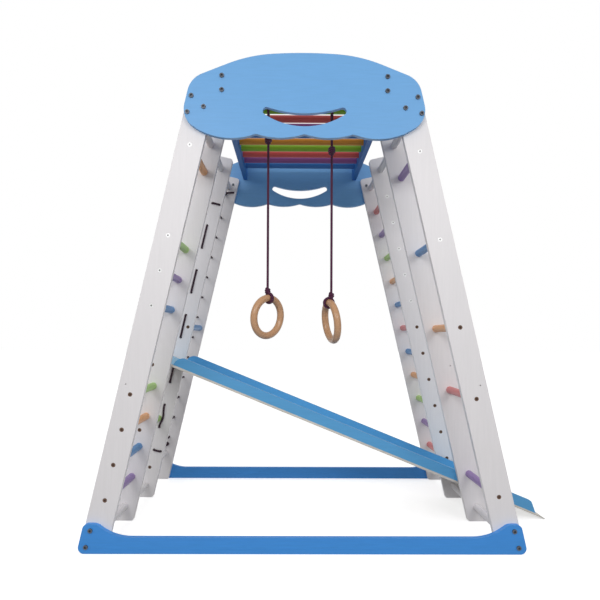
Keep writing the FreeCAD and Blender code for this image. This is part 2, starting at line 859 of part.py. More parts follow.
BAY_LENGTH = f"{PITCH} - {{board_thick}}"
FULL_LENGTH = "{frame_depth} - 2 * {board_thick}"
screw = make_screw()
short_rung = make_rung("short_rung", BAY_LENGTH, rung_length)
full_rod = make_rung("full_rod", FULL_LENGTH, -2 * front - 2 * dim("board_thick"))
part_rod = make_rung("part_rod", f"2 * {PITCH} - {{board_thick}}", rung_length + pitch)
ladder_length = 2 * dim("beam_middle") - dim("beam_thick")
ladder_rung = make_rung("ladder_rung", "2 * {beam_middle} - {beam_thick}", ladder_length)


def rung_start(side, bay, inward, height):
    """Where a short rung's front end meets its front board."""
    y = board_front(BAY_FRONT[bay]) + dim("board_thick")
    return line_x(side, height, inward), y, height


# short rungs, one sub-part for each bay and colour
groups = {}
for side, bay, colour, inward, height in rung_sites():
    label = f"{SIDE_NAME[side]}_{bay}_rungs_{colour}"
    place = turned(0, *rung_start(side, bay, inward, height))
    groups.setdefault(label, []).append(place)
for label, places in groups.items():
    keep(copies(label, short_rung, places))

# white rods
rod_start = board_front(1) + dim("board_thick")
rods = {side: [] for side in (LEFT, RIGHT)}
for side in (LEFT, RIGHT):
    for height in (dim("rod_low"), dim("rod_high")):
        short = side == LEFT and height == dim("rod_low")
        place = turned(0, line_x(side, height), rod_start, height)
        rods[side].append(linked("rod", part_rod if short else full_rod, place))
for side, links in rods.items():
    keep(gathered(f"{SIDE_NAME[side]}_tie_rods", links))

# rung and rod screws
screw_places = {LEFT: [], RIGHT: []}
for side, bay, _, inward, height in rung_sites():
    x, y, z = rung_start(side, bay, inward, height)
    near = y - dim("board_thick")
    far = near + pitch + dim("board_thick")
    screw_places[side] += [turned(0, x, near, z), turned(180, x, far, z)]
for side in (LEFT, RIGHT):
    for height in (dim("rod_low"), dim("rod_high")):
        last = 3 if side == LEFT and height == dim("rod_low") else 4
        x = line_x(side, height)
        far = board_front(last) + dim("board_thick")
        screw_places[side] += [turned(0, x, front, height), turned(180, x, far, height)]
for side, places in screw_places.items():
    keep(copies(f"{SIDE_NAME[side]}_rung_screws", screw, places))

# ----------------------------------------------------------- overhead ladder

ladder_y = [
    front + dim("ladder_first") + n * dim("ladder_pitch") for n in range(len(LADDER_COLOURS))
]


def make_beam(side):
    """One beam of the overhead ladder, drilled for its rungs and panel bolts."""
    name = f"{SIDE_NAME[side]}_ladder_beam"
    blank = doc.addObject("Part::Box", f"{name}_blank")
    bind(blank, "Length", "{beam_thick}")
    bind(blank, "Width", "{frame_depth}")
    bind(blank, "Height", "{beam_high} - {beam_low}")
    outer = side * (dim("beam_middle") + dim("beam_thick") / 2)
    inner = outer - side * dim("beam_thick")
    blank.Placement = Placement(Vector(min(outer, inner), front, dim("beam_low")), Rotation())
    hole = cylinder(f"{name}_hole", "{screw_radius} + {hole_clearance}", "2 * {beam_thick}")
    recess = cylinder(f"{name}_recess", "{screw_head_radius} + {hole_clearance}",
                      "{screw_head_thick}")
    drilling = fused(f"{name}_drilling", [hole, recess])
    pilot = cylinder(f"{name}_pilot", "{bolt_radius} + {hole_clearance}",
                     "{beam_bolt_reach} + {end_room}")
    cuts = []
    for y in ladder_y:
        cuts.append((drilling, turned(side * 90, outer, y, dim("ladder_height"))))
    for reach, height in BEAM_BOLTS:
        cuts.append((pilot, turned(0, side * reach, front, height)))
        cuts.append((pilot, turned(180, side * reach, -front, height)))
    links = [linked("cut", master, place) for master, place in cuts]
    beam = boolean("Cut", name, blank, gathered(f"{name}_tools", links))
    bind(beam, "Placement.Base.x", "{frame_mid}")
    return keep(beam)


for side in (LEFT, RIGHT):
    make_beam(side)

ladder_start = dim("frame_mid") - ladder_length / 2
groups = {}
for colour, y in zip(LADDER_COLOURS, ladder_y):
    place = turned(-90, ladder_start, y, dim("ladder_height"))
    groups.setdefault(colour, []).append(place)
for colour, places in groups.items():
    keep(copies(f"ladder_rungs_{colour}", ladder_rung, places))

beam_outer = dim("beam_middle") + dim("beam_thick") / 2
places = [
    turned(side * 90, dim("frame_mid") + side * beam_outer, y, dim("ladder_height"))
    for side in (LEFT, RIGHT)
    for y in ladder_y
]
keep(copies("ladder_screws", screw, places))

# -------------------------------------------------------------- frame's bolts

through = dim("panel_thick") + dim("board_thick")
THROUGH = "{panel_thick} + {board_thick} + {nut_thick} + {end_room}"
board_bolt = make_bolt("board_bolt", THROUGH, through)
beam_bolt = make_bolt("beam_bolt", "{panel_thick} + {beam_bolt_reach}", None)


def bolt_places(sites):
    """Both ends and both sides for bolts at (reach, height)."""
    outer = -front + dim("panel_thick")
    places = []
    for side in (LEFT, RIGHT):
        for reach, height in sites:
            x = dim("frame_mid") + side * reach
            places += [turned(0, x, -outer, height), turned(180, x, outer, height)]
    return places


keep(copies("panel_beam_bolts", beam_bolt, bolt_places(BEAM_BOLTS)))
keep(copies("panel_board_bolts", board_bolt, bolt_places(BOARD_BOLTS)))
keep(copies("base_rail_bolts", board_bolt, bolt_places(RAIL_BOLTS)))

# -------------------------------------------------------------------- slide

slope = math.radians(dim("slide_slope"))
pivot = Vector(dim("frame_mid") - dim("slide_pivot_in"), 0, dim("slide_pivot_height"))
slide_place = Placement(pivot, Rotation(Vector(0, 1, 0), dim("slide_slope")))
slide_run = (pivot.z + dim("bed_lift") * math.cos(slope)) / math.sin(slope)
bed_top = dim("bed_lift") + dim("bed_thick")
SLIDE_RUN = (
    "(({slide_pivot_height} + {bed_lift} * cos({slide_slope} * 1deg))"
    " / sin({slide_slope} * 1deg))"
)
SLIDE_X = "{frame_mid} - {slide_pivot_in}"


def place_on_slope(item):
    """Stand a slide piece on the slope, with its origin on the pivot."""
    item.Placement = slide_place
    bind(item, "Placement.Base.x", SLIDE_X)
    bind(item, "Placement.Base.z", "{slide_pivot_height}")


def slide_profile(name, points, level):
    """A body with a polygon profile along the slope; the level edges are horizontal."""
    body = new_body(name)
    sketch = sketch_on(body, "XZ_Plane", "Profile")
    count = len(points)
    join_up(sketch, [line(points[i], points[(i + 1) % count]) for i in range(count)])
    for edge in level:
        sketch.addConstraint(Sketcher.Constraint("Horizontal", edge))
    return body, sketch


def make_bed():
    """The slide's bed: a thin board whose lower end is bevelled to a lip."""
    upper = -dim("bed_above_pivot")
    low = dim("bed_lift")
    bevel = slide_run - dim("bed_bevel")
    lip = low + dim("bed_lip")
    points = [(upper, low), (slide_run, low), (slide_run, lip), (bevel, bed_top), (upper, bed_top)]
    body, sketch = slide_profile("slide_bed", points, (0, 3))
    sketch.addConstraint(Sketcher.Constraint("Vertical", 1))
    sketch.addConstraint(Sketcher.Constraint("Vertical", 4))
    hold(sketch, "DistanceX", 0, 1, -1, 1, -upper, name="above_pivot",
         formula="{bed_above_pivot}")
    hold(sketch, "DistanceY", -1, 1, 0, 1, low, name="lift", formula="{bed_lift}")
    hold(sketch, "DistanceX", -1, 1, 0, 2, slide_run, name="run", formula=SLIDE_RUN)
    hold(sketch, "DistanceY", 1, 1, 1, 2, dim("bed_lip"), name="lip", formula="{bed_lip}")
    hold(sketch, "DistanceX", 3, 1, 0, 2, dim("bed_bevel"), name="bevel",
         formula="{bed_bevel}")
    hold(sketch, "DistanceY", 0, 1, 3, 2, dim("bed_thick"), name="thick",
         formula="{bed_thick}")
    solid = pad(body, sketch, "{slide_width}")
    solid.Midplane = True
    holes = sketch_on(body, "XY_Plane", "ScrewHoles", bed_top)
    add_circles(holes, hook_screws() + side_screws(), "slide_screw_radius",
                " + {hole_clearance}")
    pocket(body, holes, "{bed_thick} * 2")
    sinks = sketch_on(body, "XY_Plane", "TopSinks", bed_top)
    add_circles(sinks, hook_screws(), "slide_screw_head", " + {hole_clearance}")
    pocket(body, sinks, "{screw_head_thick}")
    sinks = sketch_on(body, "XY_Plane", "UnderSinks", dim("bed_lift"))
    add_circles(sinks, side_screws(), "slide_screw_head", " + {hole_clearance}")
    pocket(body, sinks, "{screw_head_thick}", reverse=True)
    place_on_slope(body)
    return keep(body)


def hook_screws():
    """Screws through the bed into the hooks, as (down the slope, across)."""
    reach = dim("hook_half_length") - dim("hook_screw_inset")
    half = dim("hook_spacing") / 2
    return [(x, y) for x in (-reach, reach) for y in (-half, half)]


def side_screws():
    """Screws up through the bed into the side rails, as (down the slope, across)."""
    first = dim("side_below_pivot") + dim("side_screw_inset")
    last = slide_run - dim("side_toe_gap") - dim("side_screw_inset")
    half = (dim("slide_width") - dim("side_thick")) / 2
    step = (last - first) / (SIDE_SCREWS - 1)
    return [(first + n * step, side * half) for n in range(SIDE_SCREWS) for side in (-1, 1)]


def make_side(name, side):
    """One side rail of the slide: rounded nose above, raked toe below."""
    upper = dim("side_below_pivot")
    toe = slide_run - dim("side_toe_gap")
    high = bed_top + dim("side_height")
    points = [(upper, bed_top), (toe, bed_top), (toe - dim("side_rake"), high), (upper, high)]
    body, sketch = slide_profile(name, points, (0, 2))
    sketch.addConstraint(Sketcher.Constraint("Vertical", 3))
    hold(sketch, "DistanceX", -1, 1, 0, 1, upper, name="below_pivot",
         formula="{side_below_pivot}")
    hold(sketch, "DistanceY", -1, 1, 0, 1, bed_top, name="base",
         formula="{bed_lift} + {bed_thick}")
    hold(sketch, "DistanceX", -1, 1, 0, 2, toe, name="toe",
         formula=f"{SLIDE_RUN} - {{side_toe_gap}}")
    hold(sketch, "DistanceX", 1, 2, 0, 2, dim("side_rake"), name="rake",
         formula="{side_rake}")
    hold(sketch, "DistanceY", 0, 1, 3, 1, dim("side_height"), name="height",
         formula="{side_height}")
    edge = -dim("slide_width") / 2 if side < 0 else dim("slide_width") / 2 - dim("side_thick")
    sketch.AttachmentOffset = Placement(Vector(0, 0, -edge), Rotation())
    solid = pad(body, sketch, "{side_thick}")
    nose = round_edges(body, solid, "side_nose",
                       lambda e: runs_along_y(e) and e.Vertexes[0].Z > high - 1
                       and e.Vertexes[0].X < upper + 1)
    round_edges(body, nose, "side_toe",
                lambda e: runs_along_y(e) and e.Vertexes[0].Z > high - 1
                and e.Vertexes[0].X > toe - dim("side_rake") - 1)
    pilots = sketch_on(body, "XY_Plane", "Pilots", bed_top)
    points = [(x, y) for x, y in side_screws() if y * side > 0]
    add_circles(pilots, points, "slide_screw_radius", " + {hole_clearance}")
    pocket(body, pilots, "{slide_screw_reach}", reverse=True)
    place_on_slope(body)
    return keep(body)


def make_hooks():
    """Two saddles under the bed that sit over the support rung."""
    half = dim("hook_half_length")
    parts = []
    for n, y in enumerate((-dim("hook_spacing") / 2, dim("hook_spacing") / 2), start=1):
        blank = doc.addObject("Part::Box", f"hook_blank_{n}")
        bind(blank, "Length", "2 * {hook_half_length}")
        bind(blank, "Width", "{hook_thick}")
        bind(blank, "Height", "{hook_depth}")
        start = Vector(-half, y - dim("hook_thick") / 2, dim("bed_lift") - dim("hook_depth"))
        blank.Placement = Placement(start, Rotation())
        parts.append(blank)
    notch = cylinder("hook_notch", "{rung_radius} + {hook_clearance}", "{slide_width}",
                     at=(0, -dim("slide_width") / 2, 0))
    mouth = doc.addObject("Part::Box", "hook_mouth")
    bind(mouth, "Length", "2 * ({rung_radius} + {hook_clearance})")
    bind(mouth, "Width", "{slide_width}")
    bind(mouth, "Height", "{hook_depth}")
    reach = dim("rung_radius") + dim("hook_clearance")
    mouth.Placement = Placement(
        Vector(-reach, -dim("slide_width") / 2, -dim("hook_depth")), Rotation())
    tools = [notch, mouth]
    for n, (x, y) in enumerate(hook_screws(), start=1):
        pilot = cylinder(f"hook_pilot_{n}", "{slide_screw_radius} + {hole_clearance}",
                         "2 * {slide_screw_reach}", along="Z",
                         at=(x, y, dim("bed_lift") - dim("slide_screw_reach")))
        tools.append(pilot)
    blanks = doc.addObject("Part::Compound", "hook_blanks")
    blanks.Links = parts
    hooks = boolean("Cut", "slide_hooks", blanks, fused("hook_cutters", tools))
    place_on_slope(hooks)
    return keep(hooks)


def make_slide_screws():
    """The slide's screws: down into the hooks, and up into the side rails."""
    head = cylinder("slide_screw_head", "{slide_screw_head}", "{screw_head_thick}", along="Z",
                    at=(0, 0, -dim("screw_head_thick")))
    length = dim("bed_thick") + dim("slide_screw_reach") - dim("end_room")
    shank = cylinder("slide_screw_shank", "{slide_screw_radius}",
                     "{bed_thick} + {slide_screw_reach} - {end_room}", along="Z",
                     at=(0, 0, -length))
    item = fused("slide_screw", [head, shank])
    places = [Placement(Vector(x, y, bed_top), Rotation()) for x, y in hook_screws()]
    under = Rotation(Vector(1, 0, 0), 180)
    places += [Placement(Vector(x, y, dim("bed_lift")), under) for x, y in side_screws()]
    group = copies("slide_screws", item, places)
    place_on_slope(group)
    return keep(group)


make_bed()
make_side("slide_near_side", -1)
make_side("slide_far_side", 1)
make_hooks()
make_slide_screws()

# ------------------------------------------------------- rings and their ropes


def rope_route(points, bends):
    """Edges of a route: straight runs joined by tangent arcs of given radii."""
    edges = []
    start = points[0]
    for before, corner, after, radius in zip(points, points[1:], points[2:], bends):
        arriving = (corner - before).normalize()
        leaving = (after - corner).normalize()
        turn = arriving.getAngle(leaving)
        back = radius * math.tan(turn / 2)
        arc_start = corner - arriving * back
        arc_end = corner + leaving * back
        inward = (leaving - arriving).normalize()
        centre = corner + inward * (radius / math.cos(turn / 2))
        middle = centre - inward * radius
        if arc_start.distanceToPoint(start) > 1e-6:
            edges.append(Part.LineSegment(start, arc_start).toShape())
        edges.append(Part.Arc(arc_start, middle, arc_end).toShape())
        start = arc_end
    edges.append(Part.LineSegment(start, points[-1]).toShape())
    return edges


def sweep(name, edges, radius_formula):
    """A round cord along a route; the route keeps its own shape."""
    spine = doc.addObject("Part::Feature", f"{name}_route")
    spine.Shape = Part.Wire(edges)
    circle = doc.addObject("Part::Circle", f"{name}_section")
    bind(circle, "Radius", radius_formula)
    start = edges[0].valueAt(edges[0].FirstParameter)
    heading = edges[0].tangentAt(edges[0].FirstParameter)
    circle.Placement = Placement(start, Rotation(Vector(0, 0, 1), heading))
    cord = doc.addObject("Part::Sweep", name)
    cord.Sections = [circle]
    cord.Spine = (spine, [f"Edge{i + 1}" for i in range(len(edges))])
    cord.Solid = True
    cord.Frenet = False
    return cord


def knot(name, radius_formula, tall_formula, at):
    """A rounded knot, taller than it is wide."""
    item = doc.addObject("Part::Ellipsoid", name)
    bind(item, "Radius1", tall_formula)
    bind(item, "Radius2", radius_formula)
    bind(item, "Radius3", radius_formula)
    item.Angle1 = -90
    item.Angle2 = 90
    item.Placement = Placement(at, Rotation())
    return item


rung_y = ladder_y[RING_RUNG]


def make_ring_set(name):
    """A ring, its rope, the loop over the ladder rung and the knot on the ring."""
    x = dim("frame_mid") + dim(f"{name}_rope_in")
    top = Vector(x, rung_y, dim("ladder_height"))
    rope = dim("rope_radius")
    loop_knot = Vector(x, rung_y, dim(f"{name}_knot_height"))
    loop = make_loop(name, top, loop_knot)
    stub_low = loop_knot.z - dim("knot_radius") * dim("knot_stretch") - dim("knot_neck")
    stub = cylinder(f"{name}_loop_stub", "{rope_radius}", str(loop_knot.z - stub_low),
                    at=(x, rung_y, stub_low), along="Z")
    ball = knot(f"{name}_loop_ball", "{knot_radius}", "{knot_radius} * {knot_stretch}", loop_knot)
    keep(fused(f"{name}_rope_loop", [loop, ball, stub]))

    turn = Rotation(Vector(0, 0, 1), dim(f"{name}_ring_turn"))
    hang = turn * Rotation(Vector(1, 0, 0), dim(f"{name}_ring_tip"))
    middle = Vector(x, rung_y, dim(f"{name}_ring_height"))
    grip = middle + hang.multVec(Vector(0, 0, dim("ring_radius")))
    ring = doc.addObject("Part::Torus", f"{name}_ring")
    bind(ring, "Radius1", "{ring_radius}")
    bind(ring, "Radius2", "{ring_section}")
    ring.Placement = Placement(middle, hang * Rotation(Vector(1, 0, 0), 90))
    keep(ring)

    wrap = doc.addObject("Part::Torus", f"{name}_wrap")
    bind(wrap, "Radius1", "{ring_section} + {rope_gap} + {rope_radius}")
    bind(wrap, "Radius2", "{rope_radius}")
    wrap.Placement = Placement(grip, hang * Rotation(Vector(0, 1, 0), 90))
    ring_knot = Vector(x, rung_y, grip.z + dim("ring_knot_rise"))
    ball = knot(f"{name}_ring_ball", "{ring_knot_radius}",
                "{ring_knot_radius} * {knot_stretch}", ring_knot)
    stub_high = ring_knot.z + dim("ring_knot_radius") * dim("knot_stretch") + dim("knot_neck")
    wrap_top = grip.z + dim("ring_section") + dim("rope_gap") + rope
    stub = cylinder(f"{name}_ring_stub", "{rope_radius}", str(stub_high - wrap_top),
                    at=(x, rung_y, wrap_top), along="Z")
    keep(fused(f"{name}_ring_knot", [wrap, ball, stub]))

    run = cylinder(f"{name}_rope", "{rope_radius}", str(stub_low - dim("sway_gap") - stub_high),
                   at=(x, rung_y, stub_high), along="Z")
    keep(run)
    print(f"{name}: rope {loop_knot.z - ring_knot.z:.1f} mm from knot to knot, "
          f"sway centre z {stub_low:.2f}, ring centre {tuple(round(v, 2) for v in middle)}")


def make_loop(name, top, loop_knot):
    """The bight over the ladder rung: two legs and an arc round the rung."""
    bend = dim("rung_radius") + dim("rope_gap") + dim("rope_radius")
    fall = top.z - loop_knot.z
    tangent = math.acos(bend / fall)
    across = bend * math.sin(tangent)
    down = bend * math.cos(tangent)
    near = top + Vector(0, -across, -down)
    far = top + Vector(0, across, -down)
    edges = [
        Part.LineSegment(loop_knot, near).toShape(),
        Part.Arc(near, top + Vector(0, 0, bend), far).toShape(),
        Part.LineSegment(far, loop_knot).toShape(),
    ]
    legs = Part.Wire(edges[:2])
    rising = sweep(f"{name}_loop_rising", legs.Edges, "{rope_radius}")
    falling = sweep(f"{name}_loop_falling", [edges[2]], "{rope_radius}")
    return fused(f"{name}_loop", [rising, falling])


for name in ("left", "right"):
    make_ring_set(name)

# ----------------------------------------------------------------- rope net

NET_START = 0.2                 # the cord starts inside its top knot
NET_TAIL = [(-20.0, 131.0), (-21.0, 112.0)]
GREEN_BOW = 8.0                 # inward, to pass the end of the green rung
GREEN_LEVEL = 2


def make_net():
    """One cord laced back and forth between the two rear left boards."""
    stand_off = dim("net_rope_radius") + dim("net_stand_off")
    size = dim("net_knot")
    slant = dim("net_slant_start")
    thick = dim("board_thick")
    front_face = board_front(3) - stand_off
    front_back = board_front(3) + thick + stand_off
    rear_face = board_front(4) - stand_off
    rear_back = board_front(4) + thick + stand_off
    panel_back = -front + dim("panel_thick") + stand_off

    def at(hole, y):
        """The point at a hole's height and inward offset, at one depth."""
        return Vector(line_x(LEFT, hole[1], hole[0]), y, hole[1])

    levels = net_holes(3)[:NET_LEVELS]
    side_low, side_top = net_holes(3)[NET_LEVELS:]
    anchor, return_hole = NET_TOP_HOLES
    end = at(anchor, rear_face - 2 * size)
    leaving = end + (at(return_hole, rear_face) - end) * NET_START
    route = [leaving, at(return_hole, rear_face)]
    route += [at(return_hole, panel_back), at(anchor, panel_back)]
    route.append(at(anchor, rear_face - dim("net_anchor_run")))
    route += [at(side_top, front_back + slant), at(side_top, front_face)]
    for n in reversed(range(NET_LEVELS)):
        level = levels[n]
        arrives_in_front = (NET_LEVELS - 1 - n) % 2 == 0
        if arrives_in_front:
            route += [at(level, front_face), at(level, rear_back)]
        else:
            route += [at(level, rear_back), at(level, front_face)]
            if n == GREEN_LEVEL:
                bow = (GREEN_BOW, LEFT_MIDDLE_GREEN[1])
                route.append(at(bow, front_face))
    route += [at(side_low, front_face), at(side_low, front_back + slant)]
    route += [at(NET_TURN_HOLE, rear_face - slant), at(NET_TURN_HOLE, rear_back)]
    route += [at(NET_END_HOLE, rear_back), at(NET_END_HOLE, rear_face - size)]
    route += [at(site, rear_face - size) for site in NET_TAIL]
    bends = [dim("net_bend")] * (len(route) - 2)
    edges = rope_route(route, bends)
    cord = sweep("net_lacing", edges, "{net_rope_radius}")
    first = knot("net_top_knot", "{net_knot}", "{net_knot}", end)
    last = knot("net_end_knot", "{net_knot}", "{net_knot}",
                at(NET_END_HOLE, rear_face - size))
    keep(fused("net_cord", [cord, first, last]))
    print(f"net cord length {sum(edge.Length for edge in edges):.0f} mm")


make_net()

# --------------------------------------------------------------- write it out

doc.recompute()
for item in doc.Objects:
    if "Invalid" in item.State or "Error" in item.State:
        raise RuntimeError(f"{item.Label}: {item.State}")
os.makedirs("parts", exist_ok=True)
for item in subparts:
    shape = item.Shape
    if shape.isNull() or not shape.isValid() or shape.Volume <= 0:
        raise RuntimeError(f"{item.Label} has no valid solid")
    shape.exportStep(f"parts/{item.Label}.step")
    box = shape.BoundBox
    print(f"{item.Label}: {len(shape.Solids)} solids, {shape.Volume / 1000:.1f} cm3, "
          f"x {box.XMin:.1f} {box.XMax:.1f} y {box.YMin:.1f} {box.YMax:.1f} "
          f"z {box.ZMin:.1f} {box.ZMax:.1f}")
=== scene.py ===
"""Looks of the indoor climbing frame: painted boards and rungs, wooden rings, cords and a slide."""

import json
import math

import bpy
from mathutils import Matrix, Vector


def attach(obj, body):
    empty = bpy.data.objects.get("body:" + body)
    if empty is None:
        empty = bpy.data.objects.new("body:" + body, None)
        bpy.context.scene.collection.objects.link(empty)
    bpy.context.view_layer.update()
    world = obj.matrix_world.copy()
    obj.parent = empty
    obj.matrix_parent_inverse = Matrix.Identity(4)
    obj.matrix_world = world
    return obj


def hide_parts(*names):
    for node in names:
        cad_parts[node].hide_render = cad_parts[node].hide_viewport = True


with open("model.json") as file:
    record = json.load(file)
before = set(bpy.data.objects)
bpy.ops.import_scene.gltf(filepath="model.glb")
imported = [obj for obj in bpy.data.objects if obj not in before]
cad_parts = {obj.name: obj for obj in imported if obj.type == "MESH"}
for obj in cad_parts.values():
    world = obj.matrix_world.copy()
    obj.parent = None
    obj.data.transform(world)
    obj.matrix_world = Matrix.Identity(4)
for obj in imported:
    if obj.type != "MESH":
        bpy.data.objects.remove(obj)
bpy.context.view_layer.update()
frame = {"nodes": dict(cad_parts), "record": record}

# ------------------------------------------------------------ places, in metres

MID = -0.1012                 # x of the frame's middle plane
FRONT = -0.425                # front face of the first board
BOARD = 0.018                 # thickness of a board
PANEL = 0.015                 # thickness of a panel
PITCH = (0.850 - BOARD) / 3   # from one board's front face to the next one's
FOOT_SPREAD = 0.630
LEAN = math.radians(13.0)
RUNG = 0.0125                 # radius of a rung
LADDER_FIRST = 0.092          # from the front of the frame to the first overhead rung
LADDER_STEP = 0.074
RUNG_Y = FRONT + LADDER_FIRST + LADDER_STEP   # the rung that the rings hang from
LADDER_Z = 1.402
SLIDE_SLOPE = math.radians(22.023)
ROPE = 0.004                  # radius of a ring's rope
ROPE_GAP = 0.0004             # between a rope and what it goes round
RING = 0.0625                 # radius of a ring's middle line
RING_SECTION = 0.01175        # radius of a ring's section
NET_ROPE = 0.004              # radius of the net's cord
UP = Vector((0, 0, 1))


# ------------------------------------------------------------------- materials


def srgb(red, green, blue):
    """A colour given as 0 to 255 display values, as linear light."""
    def linear(value):
        value /= 255
        return value / 12.92 if value <= 0.04045 else ((value + 0.055) / 1.055) ** 2.4
    return linear(red), linear(green), linear(blue), 1.0


def shade(colour, factor):
    """The same colour, lighter or darker."""
    return tuple(min(1.0, c * factor) for c in colour[:3]) + (1.0,)


class Nodes:
    """A material's node tree with short calls for what the materials here share."""

    def __init__(self, name):
        self.material = bpy.data.materials.new(name)
        self.material.use_nodes = True
        self.tree = self.material.node_tree
        self.shader = self.tree.nodes["Principled BSDF"]
        self.place = self.add("ShaderNodeTexCoord")

    def add(self, kind, **settings):
        """A new node of a kind, with its settings."""
        node = self.tree.nodes.new(kind)
        for key, value in settings.items():
            setattr(node, key, value)
        return node

    def link(self, source, target):
        """An output joined to an input."""
        self.tree.links.new(source, target)

    def stretch(self, scale, turn=(0, 0, 0)):
        """Object coordinates scaled by an amount on each axis."""
        mapping = self.add("ShaderNodeMapping")
        mapping.inputs["Scale"].default_value = scale
        mapping.inputs["Rotation"].default_value = turn
        self.link(self.place.outputs["Object"], mapping.inputs["Vector"])
        return mapping.outputs["Vector"]

    def noise(self, vector, scale, detail, roughness=0.55):
        """Cloudy noise from 0 to 1."""
        node = self.add("ShaderNodeTexNoise")
        node.inputs["Scale"].default_value = scale
        node.inputs["Detail"].default_value = detail
        node.inputs["Roughness"].default_value = roughness
        self.link(vector, node.inputs["Vector"])
        return node.outputs["Fac"]

    def ramp(self, value, low, high, first, last):
        """Two colours blended between two values."""
        node = self.add("ShaderNodeValToRGB")
        node.color_ramp.elements[0].position = low
        node.color_ramp.elements[1].position = high
        node.color_ramp.elements[0].color = first
        node.color_ramp.elements[1].color = last
        self.link(value, node.inputs["Fac"])
        return node.outputs["Color"]

    def scaled(self, value, low, high):
        """A 0 to 1 value brought to another range."""
        node = self.add("ShaderNodeMapRange")
        node.inputs["To Min"].default_value = low
        node.inputs["To Max"].default_value = high
        self.link(value, node.inputs["Value"])
        return node.outputs["Result"]

    def math(self, operation, first, second):
        """Two values put together; either may be a plain number."""
        node = self.add("ShaderNodeMath", operation=operation)
        for socket, value in zip(node.inputs, (first, second)):
            if isinstance(value, (int, float)):
                socket.default_value = value
            else:
                self.link(value, socket)
        return node.outputs["Value"]

    def mix(self, factor, first, second):
        """Two colours mixed by a value; either may be a plain colour."""
        node = self.add("ShaderNodeMix", data_type="RGBA")
        self.link(factor, node.inputs["Factor"])
        for socket, value in ((node.inputs[6], first), (node.inputs[7], second)):
            if isinstance(value, tuple):
                socket.default_value = value
            else:
                self.link(value, socket)
        return node.outputs[2]

    def soft_edges(self, radius):
        """The surface's normal with its sharp edges rounded to a radius."""
        node = self.add("ShaderNodeBevel", samples=4)
        node.inputs["Radius"].default_value = radius
        return node.outputs["Normal"]

    def edges(self, soft):
        """1 along sharp edges, 0 away from them."""
        flat = self.add("ShaderNodeNewGeometry")
        agree = self.add("ShaderNodeVectorMath", operation="DOT_PRODUCT")
        self.link(soft, agree.inputs[0])
        self.link(flat.outputs["Normal"], agree.inputs[1])
        node = self.add("ShaderNodeMapRange")
        node.inputs["From Min"].default_value = 0.995
        node.inputs["From Max"].default_value = 0.80
        self.link(agree.outputs["Value"], node.inputs["Value"])
        return node.outputs["Result"]

    def painted_recess_shade(self, reach):
        """1 deep in a recess where shade falls, 0 in the open: the mask for painted shade, from
        ambient occlusion.
        """
        node = self.add("ShaderNodeAmbientOcclusion", samples=4, only_local=True)
        node.inputs["Distance"].default_value = reach
        closed = self.add("ShaderNodeMapRange")
        closed.inputs["From Min"].default_value = 0.90
        closed.inputs["From Max"].default_value = 0.55
        self.link(node.outputs["AO"], closed.inputs["Value"])
        return closed.outputs["Result"]

    def bump(self, height, depth, strength, soft=None):
        """Relief of a depth in metres, on a softened normal if one is given."""
        node = self.add("ShaderNodeBump")
        node.inputs["Distance"].default_value = depth
        node.inputs["Strength"].default_value = strength
        self.link(height, node.inputs["Height"])
        if soft is not None:
            self.link(soft, node.inputs["Normal"])
        self.link(node.outputs["Normal"], self.shader.inputs["Normal"])

    def finish(self, colour, roughness):
        """The material, with its colour and roughness joined to the shader."""
        self.link(colour, self.shader.inputs["Base Color"])
        self.link(roughness, self.shader.inputs["Roughness"])
        return self.material


AS_IS = (1, 1, 1)
RISING_GRAIN = (60, 60, 4)
ROUND_GRAIN = (60, 4, 60)
LADDER_GRAIN = (4, 60, 60)
LEVEL_GRAIN = (5, 60, 60)
BEAM_GRAIN = (60, 5, 60)
RUBBED = srgb(222, 214, 204)
SATIN_GLOSS = 0.32


def painted(name, colour, grain=RISING_GRAIN, satin=0.42, mottle=0.05, rub=0.8):
    """Satin paint on wood: faint grain and brush marks, handling marks, edges rubbed pale.

    satin is the middle of its roughness, mottle how much the colour varies, and rub how
    far the edges are worn.
    """
    nodes = Nodes(name)
    fibres = nodes.noise(nodes.stretch(grain), 3.0, 6.0, 0.6)
    patches = nodes.noise(nodes.stretch(AS_IS), 5.0, 3.0)
    peel = nodes.noise(nodes.stretch(AS_IS), 420.0, 2.0)
    streaked = nodes.ramp(fibres, 0.3, 0.7, shade(colour, 1 - mottle), shade(colour, 1 + mottle))
    worn = nodes.mix(nodes.scaled(patches, 0.0, 0.35), streaked, shade(colour, 0.90))
    rough = nodes.math("ADD", nodes.scaled(patches, -0.07, 0.09),
                       nodes.scaled(fibres, satin - 0.04, satin + 0.05))
    relief = nodes.math("ADD", nodes.scaled(fibres, 0.0, 0.7), nodes.scaled(peel, 0.0, 0.3))
    soft = nodes.soft_edges(0.0015)
    rubbed = nodes.math("MULTIPLY", nodes.edges(soft), nodes.scaled(patches, 0.1, rub))
    edged = nodes.mix(rubbed, worn, RUBBED)
    nodes.bump(relief, 0.00025, 0.6, soft)
    nodes.shader.inputs["Specular IOR Level"].default_value = SATIN_GLOSS
    return nodes.finish(edged, rough)


GROWTH_LINES = 9.0
GROWTH_TURN = (0.15, 0.1, 0.3)
PORE_SCALE = 9
LACQUER_ROUGHNESS = 0.22


